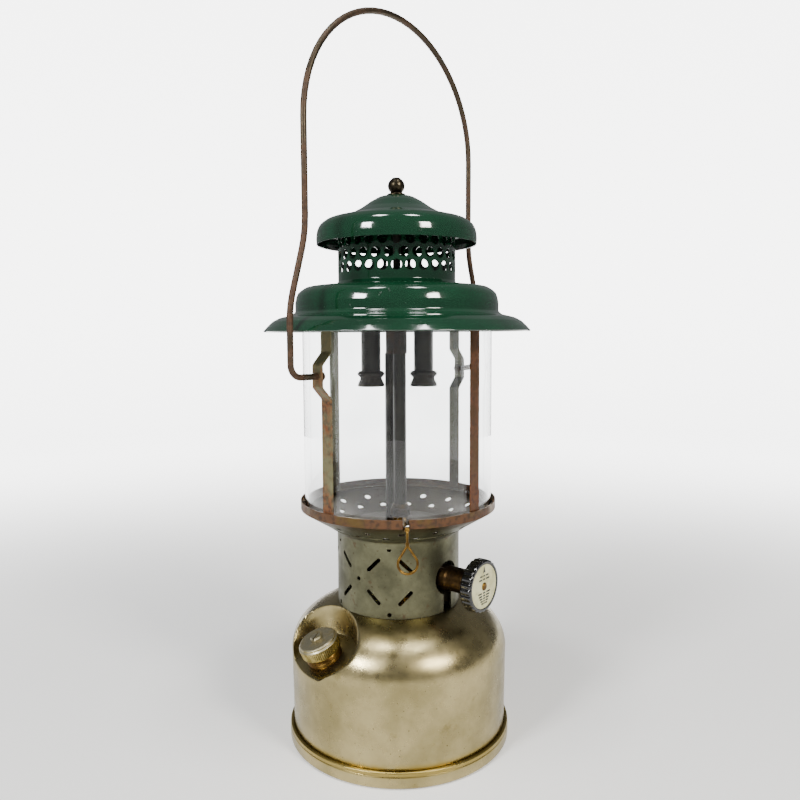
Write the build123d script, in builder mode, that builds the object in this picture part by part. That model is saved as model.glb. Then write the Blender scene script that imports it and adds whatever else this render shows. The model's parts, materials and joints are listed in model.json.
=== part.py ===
"""Two-mantle pressure lantern: tank, collar, valve, cage, globe, burner, ventilator, pump and bail.

Millimetres. Origin at the centre of the base, +Z up. Azimuths are degrees from the front (-Y)
towards the right (+X).
"""
from build123d import *
import os
from math import cos, pi, radians, sin

os.makedirs("parts", exist_ok=True)

# ---------------------------------------------------------------- driving dimensions
# Tank
base_radius, base_height, pan_sheet, seat_z = 74.5, 10.9, 1.2, 1.4
tank_low_radius, tank_radius, tank_wall = 71.69, 72.5, 1.0
shoulder_z, shoulder_run, shoulder_rise = 61.5, 43.2, 31.0
tank_top = shoulder_z + shoulder_rise
crown_radius = tank_radius - shoulder_run
# Filler
filler_azimuth, filler_radius, filler_floor, filler_tilt = -57, 56.8, 63.3, 23
pocket_radius, pocket_taper = 17.0, 20.0
neck_radius, neck_bore, neck_height = 11.6, 9.6, 9.0
cap_radius, cap_height, cap_lift = 13.1, 8.6, 6.6
# Pump
pump_azimuth, pump_radius, pump_z, pump_tilt = 178, 55.5, 84.5, 27
barrel_radius, barrel_wall, barrel_length = 10.6, 0.8, 74.0
# Collar
collar_radius, collar_sheet, collar_foot, collar_top = 41.0, 1.0, 91.55, 140.9
slot_length, slot_width, dot_diameter, diamond_z = 12.3, 2.5, 2.8, 115.3
diamond_azimuths = [-68, -8, 112, 172, 232]
keyhole_azimuth, keyhole_diameter, keyhole_slot = 51, 22.0, 8.4
# Valve
valve_azimuth, valve_z, stem_radius = 51, 113.5, 3.0
knob_radius, knob_back, knob_face = 16.5, 58.6, 67.2
# Cage
rim_radius, rim_sheet, rim_bottom, rim_top = 65.15, 1.0, 155.8, 161.3
rest_z, strip_width, strip_sheet, strip_top = 156.6, 9.0, 1.0, 281.0
air_holes, air_hole_diameter, upper_row, lower_row = 16, 4.5, 55.0, 47.0
upper_phase = 2.4
kink_depth, bail_z, wire_radius, pin_clearance = 7.0, 245.5, 1.9, 0.06
bail_azimuth, plain_azimuth = -42, 48
ring_bottom = 274.5
# Cleaning lever
lever_azimuth, lever_rise, lever_root_z, lever_wire = 4.2, 8.6, 148.0, 0.8
lever_reach, loop_drop, loop_centre, loop_radius = 55.2, 9.5, 19.7, 5.8
# Globe
globe_radius, globe_wall, globe_top = 62.3, 2.0, 277.0
# Burner
generator_x, generator_y, generator_radius, nut_z = 1.5, -13.0, 4.15, 151.7
air_x, air_y, air_radius = -2.5, 0.5, 5.75
burner_x, burner_radius, burner_foot = 17.5, 6.45, 236.0
hub_bottom, hub_top = 258.0, 290.0
# Ventilator
brim_radius, brim_z, hood_sheet = 87.2, 272.6, 0.9
dome_radius, neck_wall_radius, neck_foot, cap_edge_z = 66.6, 38.5, 303.03, 328.5
vent_rows, vent_holes, vent_diameter = [312.7, 320.6, 328.5], 28, 6.5
stud_radius, finial_z = 2.5, 359.4
# Bail
bail_reach, bail_splay, bail_shoulder, bail_spring = 91.0, 78.35, 286.0, 394.2


# ---------------------------------------------------------------- placing and turning helpers
def outward(azimuth):
    """Level unit vector that points away from the lantern's axis."""
    return Vector(sin(radians(azimuth)), -cos(radians(azimuth)), 0)


def radial_plane(azimuth, radius, z):
    """Plane that faces outwards: local x runs round the lantern, local y is up."""
    return Plane(
        origin=outward(azimuth) * radius + Vector(0, 0, z),
        x_dir=outward(azimuth + 90),
        z_dir=outward(azimuth),
    )


def section_plane(azimuth):
    """Upright plane through the axis: local x is the radius, local y is the height."""
    return Plane(origin=(0, 0, 0), x_dir=outward(azimuth), z_dir=outward(azimuth - 90))


def tilted_plane(azimuth, radius, z, tilt):
    """Plane whose normal leans outwards from the vertical by the tilt."""
    lean = radians(tilt)
    return Plane(
        origin=outward(azimuth) * radius + Vector(0, 0, z),
        x_dir=outward(azimuth + 90),
        z_dir=outward(azimuth) * sin(lean) + Vector(0, 0, cos(lean)),
    )


def turned(profile, plane=Plane.XY):
    """Solid of revolution of a closed (radius, height) outline about the plane's normal."""
    section = Plane(origin=plane.origin, x_dir=plane.x_dir, z_dir=-plane.y_dir)
    with BuildPart() as body:
        with BuildSketch(section):
            with BuildLine():
                Polyline(*profile, close=True)
            make_face()
        revolve(axis=Axis(plane.origin, plane.z_dir))
    return body


def pipe(outer, inner, low, high, plane=Plane.XY):
    """Straight tube, or a rod where the inner radius is zero."""
    return turned([(inner, low), (outer, low), (outer, high), (inner, high)], plane)


def fluted(radius, depth, count, low, high, plane):
    """Round bar with shallow round grooves along its edge."""
    with BuildPart() as body:
        with BuildSketch(plane.offset(low)):
            Circle(radius)
            with PolarLocations(radius + depth * 0.4, count):
                Circle(depth * 1.4, mode=Mode.SUBTRACT)
        extrude(amount=high - low)
    return body


# ---------------------------------------------------------------- tank
filler = tilted_plane(filler_azimuth, filler_radius, filler_floor, filler_tilt)
pump = tilted_plane(pump_azimuth, pump_radius, pump_z, pump_tilt)

fount_base_plate = turned([
    (0, 7.4), (62, 5), (66, 0), (73, 0), (base_radius, 1.5), (base_radius, base_height - 1.5),
    (base_radius - 1.3, base_height), (71.95, base_height), (71.95, seat_z), (66.8, seat_z),
    (62.6, 5 + pan_sheet), (0, 7.4 + pan_sheet),
])
fount_base_plate.part.label = "fount_base_plate"
export_step(fount_base_plate.part, "parts/fount_base_plate.step")


def tank_body(inset, foot):
    """Solid tank outline, inset by a wall, with the filler pocket pressed into its shoulder."""
    with BuildPart() as body:
        with BuildSketch(Plane.XZ):
            with BuildLine():
                Line((0, foot), (tank_low_radius - inset, foot))
                Line((tank_low_radius - inset, foot), (tank_radius - inset, shoulder_z))
                EllipticalCenterArc(
                    (crown_radius, shoulder_z), shoulder_run - inset, shoulder_rise - inset,
                    start_angle=0, arc_size=90,
                )
                Line((crown_radius, tank_top - inset), (0, tank_top - inset))
                Line((0, tank_top - inset), (0, foot))
            make_face()
        revolve(axis=Axis.Z)
        with BuildSketch(filler.offset(-inset)):
            Circle(pocket_radius + inset)
        extrude(amount=40, taper=-pocket_taper, mode=Mode.SUBTRACT)
    return body


tank_cavity = tank_body(tank_wall, 0)
tank_outside = tank_body(0, seat_z)
with BuildPart() as fount_shell:
    add(tank_outside.part)
    add(tank_cavity.part, mode=Mode.SUBTRACT)
    with BuildSketch(filler.offset(-5)):
        Circle(neck_radius)
    extrude(amount=8, mode=Mode.SUBTRACT)
    with BuildSketch(pump.offset(-16)):
        Circle(barrel_radius + 0.2)
    extrude(amount=40, mode=Mode.SUBTRACT)
    with BuildSketch(Plane.XY.offset(tank_top - 4)):
        Circle(9.0)
    extrude(amount=8, mode=Mode.SUBTRACT)
fount_shell.part.label = "fount_shell"
export_step(fount_shell.part, "parts/fount_shell.step")

valve_boss = turned([
    (7.0, tank_top - 6), (9.0, tank_top - 6), (9.0, tank_top), (12.0, tank_top),
    (12.0, tank_top + 3), (7.0, tank_top + 3),
])
valve_boss.part.label = "valve_boss"
export_step(valve_boss.part, "parts/valve_boss.step")

# ---------------------------------------------------------------- filler
filler_neck = turned([
    (neck_bore, -5), (neck_radius, -5), (neck_radius, neck_height), (neck_bore, neck_height),
], filler)
filler_neck.part.label = "filler_neck"
export_step(filler_neck.part, "parts/filler_neck.step")

filler_cap_gasket = pipe(neck_radius - 0.2, 3.6, neck_height, neck_height + 1.2, filler)
filler_cap_gasket.part.label = "filler_cap_gasket"
export_step(filler_cap_gasket.part, "parts/filler_cap_gasket.step")

insert_top = neck_height + 3.0
filler_cap_insert = turned([
    (0, -2), (2.6, -2), (3.4, 0), (3.4, neck_height + 1.2), (neck_radius - 0.6, neck_height + 1.2),
    (neck_radius - 0.6, insert_top), (0, insert_top),
], filler)
filler_cap_insert.part.label = "filler_cap_insert"
export_step(filler_cap_insert.part, "parts/filler_cap_insert.step")

cap_foot = insert_top + 2.4 - cap_height
with BuildPart() as filler_cap_shell:
    with BuildSketch(filler.offset(cap_foot)):
        Circle(cap_radius)
        with PolarLocations(cap_radius + 0.1, 60):
            Circle(0.42, mode=Mode.SUBTRACT)
    extrude(amount=cap_height - 1.6)
    with BuildSketch(filler.offset(cap_foot + cap_height - 1.6)):
        Circle(cap_radius)
    extrude(amount=1.6)
    chamfer(filler_cap_shell.faces().sort_by(Axis(filler.origin, filler.z_dir))[-1].edges(), 1.0)
    with BuildSketch(filler.offset(cap_foot)):
        Circle(neck_radius + 0.3)
    extrude(amount=insert_top + 0.3 - cap_foot, mode=Mode.SUBTRACT)
    with BuildSketch(filler.offset(cap_foot)):
        Circle(2.0)
    extrude(amount=cap_height, mode=Mode.SUBTRACT)
filler_cap_shell.part.label = "filler_cap_shell"
export_step(filler_cap_shell.part, "parts/filler_cap_shell.step")

cap_top = insert_top + 2.4
with BuildPart() as filler_cap_screw:
    with BuildSketch(filler.offset(cap_top)):
        Circle(3.9)
    extrude(amount=2.2)
    chamfer(filler_cap_screw.faces().sort_by(Axis(filler.origin, filler.z_dir))[-1].edges(), 0.8)
    with BuildSketch(filler.offset(cap_top + 1.1)):
        Rectangle(0.9, 9, rotation=30)
    extrude(amount=2, mode=Mode.SUBTRACT)
    with BuildSketch(filler.offset(insert_top + 0.3)):
        Circle(2.0)
    extrude(amount=2.1)
filler_cap_screw.part.label = "filler_cap_screw"
export_step(filler_cap_screw.part, "parts/filler_cap_screw.step")

# ---------------------------------------------------------------- pump
barrel_bore = barrel_radius - barrel_wall
pump_barrel = turned([
    (4.0, -barrel_length), (barrel_radius, -barrel_length), (barrel_radius, 3.0),
    (barrel_radius + 4.5, 3.0), (barrel_radius + 4.5, 4.4), (barrel_bore, 4.4),
    (barrel_bore, 1.2 - barrel_length), (4.0, 1.2 - barrel_length),
], pump)
pump_barrel.part.label = "pump_barrel"
export_step(pump_barrel.part, "parts/pump_barrel.step")

pump_cap = turned([
    (3.1, 4.4), (14.4, 4.4), (14.4, 6.4), (13.4, 7.6), (3.1, 7.6),
], pump)
pump_cap.part.label = "pump_cap"
export_step(pump_cap.part, "parts/pump_cap.step")

check_valve = turned([
    (1.2, -barrel_length - 9), (2.6, -barrel_length - 9), (4.0, -barrel_length - 7),
    (4.0, 1.2 - barrel_length), (6.0, 1.2 - barrel_length), (6.0, 3.2 - barrel_length),
    (1.2, 3.2 - barrel_length),
], pump)
check_valve.part.label = "check_valve"
export_step(check_valve.part, "parts/check_valve.step")

air_stem = pipe(1.15, 0, -barrel_length - 6, -2, pump)
air_stem.part.label = "air_stem"
export_step(air_stem.part, "parts/air_stem.step")

leather_z = 8.0 - barrel_length
pump_rod = turned([
    (1.7, leather_z), (3.0, leather_z), (3.0, 9.6), (1.7, 9.6),
], pump)
pump_rod.part.label = "pump_rod"
export_step(pump_rod.part, "parts/pump_rod.step")

pump_leather = turned([
    (3.0, leather_z + 1.5), (3.0, leather_z), (8.4, leather_z), (barrel_bore - 0.35, leather_z - 2.5),
    (barrel_bore - 0.35, leather_z + 3.0), (8.6, leather_z + 1.5),
], pump)
pump_leather.part.label = "pump_leather"
export_step(pump_leather.part, "parts/pump_leather.step")

knob_groove = fluted(11.8, 1.0, 20, 9.6, 15.4, pump)
with BuildPart() as pump_knob:
    add(knob_groove.part)
    with BuildSketch(pump.offset(15.4)):
        Circle(11.2)
    extrude(amount=2.4, taper=25)
    with BuildSketch(pump.offset(15.0)):
        Circle(2.4)
    extrude(amount=4, mode=Mode.SUBTRACT)
pump_knob.part.label = "pump_knob"
export_step(pump_knob.part, "parts/pump_knob.step")

# ---------------------------------------------------------------- collar
diamond_side = 10.3
diamond_turn = diamond_side / collar_radius * 180 / pi
with BuildPart() as collar:
    with BuildSketch(Plane.XY.offset(collar_foot)):
        Circle(collar_radius)
        Circle(collar_radius - collar_sheet, mode=Mode.SUBTRACT)
    extrude(amount=collar_top - collar_foot)
    for lean in (-1, 1):
        corners = [
            radial_plane(azimuth + side * diamond_turn, collar_radius - 3, diamond_z + lean * side * 10.4)
            for azimuth in diamond_azimuths
            for side in (-1, 1)
        ]
        with BuildSketch(*corners):
            SlotOverall(slot_length, slot_width, rotation=-45 * lean)
        extrude(amount=5, mode=Mode.SUBTRACT)
    dots = [
        radial_plane(azimuth, collar_radius - 3, z)
        for azimuth in diamond_azimuths
        for z in (94.3, 136.3)
    ]
    dots += [radial_plane(azimuth, collar_radius - 3, 115.4) for azimuth in (-98, -38, 142, 202)]
    with BuildSketch(*dots):
        Circle(dot_diameter / 2)
    extrude(amount=5, mode=Mode.SUBTRACT)
    with BuildSketch(radial_plane(keyhole_azimuth, collar_radius - 6, valve_z)):
        Circle(keyhole_diameter / 2)
        with Locations((0, -14)):
            Rectangle(keyhole_slot, 22)
    extrude(amount=10, mode=Mode.SUBTRACT)
collar.part.label = "collar"
export_step(collar.part, "parts/collar.step")

# ---------------------------------------------------------------- valve
fuel_tube = turned([
    (1.6, 10.5), (3.0, 10.5), (3.0, tank_top - 2), (1.6, tank_top - 2),
])
fuel_tube.part.label = "fuel_tube"
export_step(fuel_tube.part, "parts/fuel_tube.step")

valve_side = radial_plane(valve_azimuth, 0, valve_z)
generator = Plane(origin=(generator_x, generator_y, 0))
lever_side = Plane(
    origin=(generator_x, generator_y, lever_root_z),
    x_dir=outward(lever_azimuth + 90),
    z_dir=outward(lever_azimuth) * cos(radians(lever_rise)) + Vector(0, 0, sin(radians(lever_rise))),
)
with BuildPart() as valve_body:
    with BuildSketch(Plane.XY.offset(tank_top - 2)):
        Circle(7.0)
    extrude(amount=5)
    with BuildSketch(Plane.XY.offset(tank_top + 3)):
        Circle(9.0)
    extrude(amount=30)
    with BuildSketch(valve_side):
        Circle(7.2)
    extrude(amount=20)
    with BuildSketch(Plane.XY.offset(tank_top + 22)):
        with Locations((0.75, -7)):
            Rectangle(11, 22)
    extrude(amount=11)
    with BuildSketch(Plane.XY.offset(tank_top + 33)):
        with Locations((generator_x, generator_y)):
            Circle(5.0)
    extrude(amount=nut_z - tank_top - 33)
    with BuildSketch(lever_side):
        Circle(2.6)
    extrude(amount=7)
    with BuildSketch(lever_side.offset(2)):
        Circle(lever_wire + pin_clearance)
    extrude(amount=6, mode=Mode.SUBTRACT)
    with BuildSketch(valve_side.offset(7)):
        Circle(stem_radius + 0.05)
    extrude(amount=20, mode=Mode.SUBTRACT)
valve_body.part.label = "valve_body"
export_step(valve_body.part, "parts/valve_body.step")

packing_nut = turned([
    (stem_radius + 0.05, 20), (8.3, 20), (8.3, 44), (7.6, 45), (7.6, 54.4), (6.9, 55.2),
    (stem_radius + 0.05, 55.2),
], valve_side)
packing_nut.part.label = "packing_nut"
export_step(packing_nut.part, "parts/packing_nut.step")

valve_stem = turned([
    (0, 9), (1.2, 9), (stem_radius, 13), (stem_radius, 62), (0, 62),
], valve_side)
valve_stem.part.label = "valve_stem"
export_step(valve_stem.part, "parts/valve_stem.step")

knob_grip = fluted(knob_radius, 1.3, 26, knob_back + 1.2, knob_face - 1.0, valve_side)
knob_core = turned([
    (stem_radius, 55.8), (7.8, 55.8), (8.4, 56.4), (8.4, knob_back), (14.6, knob_back),
    (15.0, knob_back + 1.2), (15.0, knob_face - 1.0), (14.9, knob_face), (14.4, knob_face),
    (14.4, knob_face - 0.9), (stem_radius, knob_face - 0.9),
], valve_side)
with BuildPart() as valve_knob:
    add(knob_grip.part)
    with BuildSketch(valve_side.offset(knob_back)):
        Circle(14.9)
    extrude(amount=knob_face - 1.0 - knob_back, mode=Mode.SUBTRACT)
    add(knob_core.part)
valve_knob.part.label = "valve_knob"
export_step(valve_knob.part, "parts/valve_knob.step")

direction_disc = pipe(14.35, 1.6, knob_face - 0.9, knob_face - 0.3, valve_side)
direction_disc.part.label = "direction_disc"
export_step(direction_disc.part, "parts/direction_disc.step")

with BuildPart() as knob_screw:
    with BuildSketch(valve_side.offset(knob_face - 0.3)):
        Circle(2.7)
    extrude(amount=1.2)
    chamfer(knob_screw.faces().sort_by(Axis(valve_side.origin, valve_side.z_dir))[-1].edges(), 0.5)
    with BuildSketch(valve_side.offset(knob_face + 0.4)):
        Rectangle(0.7, 6)
    extrude(amount=1, mode=Mode.SUBTRACT)
    with BuildSketch(valve_side.offset(62)):
        Circle(1.6)
    extrude(amount=knob_face - 0.3 - 62)
knob_screw.part.label = "knob_screw"
export_step(knob_screw.part, "parts/knob_screw.step")

# ---------------------------------------------------------------- generator and cleaning lever
with BuildPart() as generator_nut:
    with BuildSketch(generator.offset(nut_z)):
        RegularPolygon(6.6, 6)
    extrude(amount=5.0)
    with BuildSketch(generator.offset(nut_z + 5)):
        Circle(5.6)
    extrude(amount=3.2, taper=12)
    with BuildSketch(generator.offset(nut_z + 2)):
        Circle(generator_radius)
    extrude(amount=8, mode=Mode.SUBTRACT)
    with BuildSketch(generator.offset(nut_z)):
        Circle(1.9)
    extrude(amount=2, mode=Mode.SUBTRACT)
generator_nut.part.label = "generator_nut"
export_step(generator_nut.part, "parts/generator_nut.step")

generator_tube = pipe(generator_radius, 3.2, nut_z + 2, hub_bottom + 4, generator)
generator_tube.part.label = "generator_tube"
export_step(generator_tube.part, "parts/generator_tube.step")

gas_tip = turned([
    (0.75, hub_bottom + 4), (3.2, hub_bottom + 4), (3.2, hub_bottom + 6), (1.6, hub_bottom + 9),
    (0.75, hub_bottom + 9),
], generator)
gas_tip.part.label = "gas_tip"
export_step(gas_tip.part, "parts/gas_tip.step")

cleaning_needle = turned([
    (0, nut_z + 3), (1.1, nut_z + 3), (1.1, hub_bottom - 2), (0.4, hub_bottom), (0.4, hub_bottom + 6.5),
    (0, hub_bottom + 6.5),
], generator)
cleaning_needle.part.label = "cleaning_needle"
export_step(cleaning_needle.part, "parts/cleaning_needle.step")

lever_gland = turned([
    (lever_wire + pin_clearance, 7.0), (3.3, 7.0), (3.3, 9.6), (2.4, 10.6),
    (lever_wire + pin_clearance, 10.6),
], lever_side)
lever_gland.part.label = "lever_gland"
export_step(lever_gland.part, "parts/lever_gland.step")

lever_section = Plane(origin=lever_side.origin, x_dir=lever_side.z_dir, z_dir=-lever_side.x_dir)
loop_plane = lever_side.offset(lever_reach)
tangent_drop = loop_centre - loop_radius ** 2 / (loop_centre - loop_drop)
tangent_side = loop_radius * (1 - (loop_radius / (loop_centre - loop_drop)) ** 2) ** 0.5
with BuildPart() as cleaning_lever:
    with BuildLine(lever_section) as shank:
        FilletPolyline((3, 0), (lever_reach, 0), (lever_reach, -loop_drop - 0.4), radius=2.2)
    with BuildSketch(lever_side.offset(3)):
        Circle(lever_wire)
    sweep(path=shank.line)
    with BuildLine(loop_plane) as loop:
        Line((0.3, -loop_drop), (tangent_side, -tangent_drop))
        ThreePointArc(
            (tangent_side, -tangent_drop), (0, -loop_centre - loop_radius), (-tangent_side, -tangent_drop)
        )
        Line((-tangent_side, -tangent_drop), (-0.3, -loop_drop))
    with BuildSketch(Plane(origin=loop.line @ 0, z_dir=loop.line % 0)):
        Circle(lever_wire)
    sweep(path=loop.line)
    with Locations(lever_side.offset(lever_reach - 0.8).location):
        Sphere(1.7)
cleaning_lever.part.label = "cleaning_lever"
export_step(cleaning_lever.part, "parts/cleaning_lever.step")

# ---------------------------------------------------------------- cage
frame_cone = [
    (40.0, collar_top), (collar_radius, collar_top), (rim_radius, rim_bottom),
    (rim_radius - 1.75, rim_bottom), (40.0, collar_top + 0.47),
]
cone_slope = (rim_bottom - collar_top) / (rim_radius - collar_radius)


def lever_notch(radius, low, high, width):
    """Cutter for the gap that the cleaning lever passes through."""
    with BuildPart() as cutter:
        with BuildSketch(radial_plane(lever_azimuth, radius, (low + high) / 2)):
            Rectangle(width, high - low)
        extrude(amount=10)
    return cutter


cone_notch = lever_notch(59.5, 150, rim_bottom + 1, 3.6)
with BuildPart() as frame_dish:
    with BuildSketch(Plane.XZ):
        with BuildLine():
            Polyline(*frame_cone, close=True)
        make_face()
    revolve(axis=Axis.Z)
    with BuildSketch(Plane.XY.offset(collar_top)):
        Circle(40.3)
        with Locations((-0.5, -6)):
            Circle(18.5, mode=Mode.SUBTRACT)
    extrude(amount=0.9)
    for row_radius, phase in ((upper_row, upper_phase), (lower_row, upper_phase + 180 / air_holes)):
        row_z = collar_top + (row_radius - collar_radius) * cone_slope
        holes = [
            tilted_plane(phase + 360 / air_holes * k, row_radius, row_z, -31.7).offset(-4)
            for k in range(air_holes)
        ]
        with BuildSketch(*holes):
            Circle(air_hole_diameter / 2)
        extrude(amount=8, mode=Mode.SUBTRACT)
    add(cone_notch.part, mode=Mode.SUBTRACT)
frame_dish.part.label = "frame_dish"
export_step(frame_dish.part, "parts/frame_dish.step")

band_inner = rim_radius - rim_sheet
globe_ledge = pipe(band_inner, 59.5, rim_bottom, rest_z)
ledge_notch = lever_notch(57, rim_bottom - 1, rest_z + 1, 3.6)
with BuildPart() as globe_rest:
    add(globe_ledge.part)
    add(ledge_notch.part, mode=Mode.SUBTRACT)
globe_rest.part.label = "globe_rest"
export_step(globe_rest.part, "parts/globe_rest.step")

rim_band = pipe(rim_radius, band_inner, rim_bottom, rim_top)
rim_notch = lever_notch(60, rim_bottom - 1, rim_top + 1, 3.6)
with BuildPart() as frame_rim:
    add(rim_band.part)
    add(rim_notch.part, mode=Mode.SUBTRACT)
frame_rim.part.label = "frame_rim"
export_step(frame_rim.part, "parts/frame_rim.step")

strip_outer = band_inner - 0.17
strip_inner = strip_outer - strip_sheet
kink_outer = strip_outer + kink_depth
straight_strip = [
    (strip_inner, rest_z), (strip_outer, rest_z), (strip_outer, strip_top), (strip_inner, strip_top),
]
kinked_strip = [
    (strip_inner, rest_z), (strip_outer, rest_z), (strip_outer, bail_z - 14),
    (kink_outer, bail_z - 7), (kink_outer, bail_z + 7), (strip_outer, bail_z + 14),
    (strip_outer, strip_top), (strip_inner, strip_top), (strip_inner, bail_z + 13.5),
    (kink_outer - strip_sheet, bail_z + 6.5), (kink_outer - strip_sheet, bail_z - 6.5),
    (strip_inner, bail_z - 13.5),
]


def upright(azimuth, outline, pin_hole):
    """Flat strip that stands on the globe rest; the kinked ones take the bail's pins."""
    with BuildPart() as strip:
        with BuildSketch(section_plane(azimuth)):
            with BuildLine():
                Polyline(*outline, close=True)
            make_face()
        extrude(amount=strip_width / 2, both=True)
        if pin_hole:
            with BuildSketch(radial_plane(azimuth, strip_inner, bail_z)):
                Circle(wire_radius + pin_clearance)
            extrude(amount=12, mode=Mode.SUBTRACT)
    return strip


for side, turn in (("front", 0), ("back", 180)):
    bail_upright = upright(bail_azimuth + turn, kinked_strip, True)
    bail_upright.part.label = f"bail_upright_{side}"
    export_step(bail_upright.part, f"parts/bail_upright_{side}.step")
    plain_upright = upright(plain_azimuth + turn, straight_strip, False)
    plain_upright.part.label = f"plain_upright_{side}"
    export_step(plain_upright.part, f"parts/plain_upright_{side}.step")

cage_top_ring = pipe(band_inner + 0.95, band_inner, ring_bottom, strip_top)
cage_top_ring.part.label = "cage_top_ring"
export_step(cage_top_ring.part, "parts/cage_top_ring.step")

globe = pipe(globe_radius, globe_radius - globe_wall, rest_z, globe_top)
globe.part.label = "globe"
export_step(globe.part, "parts/globe.step")

# ---------------------------------------------------------------- burner
air_tube = pipe(air_radius, 4.9, 128, hub_bottom, Plane(origin=(air_x, air_y, 0)))
air_tube.part.label = "air_tube"
export_step(air_tube.part, "parts/air_tube.step")

arm_bottom = 276.0
with BuildPart() as burner_manifold:
    with BuildSketch(Plane.XY.offset(hub_bottom)):
        with Locations((-0.5, -5.0)):
            RectangleRounded(13.6, 27, 5)
    extrude(amount=hub_top - hub_bottom)
    with BuildSketch(Plane.XY.offset(arm_bottom)):
        RectangleRounded(2 * burner_x + 15, 15, 7.3)
    extrude(amount=hub_top - arm_bottom)
    with BuildSketch(generator.offset(hub_bottom)):
        Circle(generator_radius)
    extrude(amount=14, mode=Mode.SUBTRACT)
burner_manifold.part.label = "burner_manifold"
export_step(burner_manifold.part, "parts/burner_manifold.step")

for side, x in (("left", -burner_x), ("right", burner_x)):
    hanging = Plane(origin=(x, 0, burner_foot))
    burner_tube = pipe(burner_radius, 5.6, 4.0, arm_bottom - burner_foot, hanging)
    burner_tube.part.label = f"burner_tube_{side}"
    export_step(burner_tube.part, f"parts/burner_tube_{side}.step")
    burner_cap = turned([
        (7.4, 0), (9.0, 0), (9.0, 3.6), (7.2, 5.4), (7.2, 7.6), (8.85, 8.8), (8.85, 10.2),
        (burner_radius, 10.2), (burner_radius, 4.0), (5.6, 4.0), (5.6, 2.2), (7.4, 2.2),
    ], hanging)
    burner_cap.part.label = f"burner_cap_{side}"
    export_step(burner_cap.part, f"parts/burner_cap_{side}.step")
    burner_screen = pipe(7.4, 0, 1.5, 2.2, hanging)
    burner_screen.part.label = f"burner_screen_{side}"
    export_step(burner_screen.part, f"parts/burner_screen_{side}.step")

ventilator_stud = pipe(stud_radius, 0, hub_top, 367.0)
ventilator_stud.part.label = "ventilator_stud"
export_step(ventilator_stud.part, "parts/ventilator_stud.step")

# ---------------------------------------------------------------- ventilator
ventilator_baffle = pipe(dome_radius - hood_sheet, 42.0, strip_top, strip_top + 0.9)
ventilator_baffle.part.label = "ventilator_baffle"
export_step(ventilator_baffle.part, "parts/ventilator_baffle.step")

with BuildPart() as ventilator_hood:
    with BuildSketch(Plane.XZ):
        with BuildLine():
            ThreePointArc((brim_radius - 0.1, 272.9), (83.1, 277.4), (77.1, 281.0))
            Line((77.1, 281.0), (68.4, 283.1))
            Line((68.4, 283.1), (dome_radius, 284.9))
            Line((dome_radius, 284.9), (dome_radius, 290.5))
            ThreePointArc((dome_radius, 290.5), (64.9, 297.0), (58.5, 300.8))
            Line((58.5, 300.8), (neck_wall_radius, 303.0))
            offset(amount=hood_sheet, side=Side.LEFT)
        make_face()
    revolve(axis=Axis.Z)
    with BuildSketch(Plane.XZ):
        with Locations((brim_radius - 0.85, brim_z + 0.25)):
            Circle(0.85)
    revolve(axis=Axis.Z)
ventilator_hood.part.label = "ventilator_hood"
export_step(ventilator_hood.part, "parts/ventilator_hood.step")

with BuildPart() as ventilator_neck:
    with BuildSketch(Plane.XY.offset(neck_foot)):
        Circle(neck_wall_radius)
        Circle(neck_wall_radius - hood_sheet, mode=Mode.SUBTRACT)
    extrude(amount=344.4 - neck_foot)
    pitch = 360 / vent_holes
    vents = [
        radial_plane(pitch * (k + 0.5 * (row % 2)), neck_wall_radius - 3, z)
        for row, z in enumerate(vent_rows)
        for k in range(vent_holes)
    ]
    with BuildSketch(*vents):
        Circle(vent_diameter / 2)
    extrude(amount=5, mode=Mode.SUBTRACT)
ventilator_neck.part.label = "ventilator_neck"
export_step(ventilator_neck.part, "parts/ventilator_neck.step")

with BuildPart() as ventilator_cap:
    with BuildSketch(Plane.XZ):
        with BuildLine():
            ThreePointArc((52.1, cap_edge_z), (52.5, 333.2), (51.5, 338.4))
            ThreePointArc((51.5, 338.4), (49.6, 341.7), (45.6, 343.9))
            Line((45.6, 343.9), (31.0, 347.8))
            ThreePointArc((31.0, 347.8), (22.8, 352.2), (15.5, 357.1))
            ThreePointArc((15.5, 357.1), (11.0, 359.4), (5.9, 360.3))
            Line((5.9, 360.3), (2.8, 360.3))
            offset(amount=hood_sheet, side=Side.LEFT)
        make_face()
    revolve(axis=Axis.Z)
ventilator_cap.part.label = "ventilator_cap"
export_step(ventilator_cap.part, "parts/ventilator_cap.step")

with BuildPart() as finial_nut:
    with BuildSketch(Plane.XZ):
        with BuildLine():
            Polyline(
                (0, 360.4), (6.2, 360.4), (6.2, 361.4), (4.4, 362.2), (4.4, 363.4), (0, 363.4),
                close=True,
            )
        make_face()
    revolve(axis=Axis.Z)
    with Locations((0, 0, 366.5)):
        Sphere(5.5)
    with BuildSketch(Plane.XY.offset(360)):
        Circle(stud_radius + 0.05)
    extrude(amount=7.4, mode=Mode.SUBTRACT)
finial_nut.part.label = "finial_nut"
export_step(finial_nut.part, "parts/finial_nut.step")

# ---------------------------------------------------------------- bail
bail_side = [
    (kink_outer - 4.2, bail_z), (bail_reach, bail_z), (bail_reach, bail_shoulder),
    (bail_splay, 329.0), (bail_splay, bail_spring),
]
with BuildPart() as bail:
    with BuildLine(section_plane(bail_azimuth)) as wire:
        FilletPolyline(*bail_side, radius=[7, 30, 30])
        CenterArc((0, bail_spring), bail_splay, 0, 180)
        FilletPolyline(*[(-x, z) for x, z in reversed(bail_side)], radius=[30, 30, 7])
    with BuildSketch(Plane(origin=wire.line @ 0, z_dir=wire.line % 0)):
        Circle(wire_radius)
    sweep(path=wire.line)
    for turn in (0, 180):
        with BuildSketch(radial_plane(bail_azimuth + turn, kink_outer - 4.8, bail_z)):
            Circle(3.0)
        extrude(amount=1.4)
bail.part.label = "bail"
export_step(bail.part, "parts/bail.step")
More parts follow.
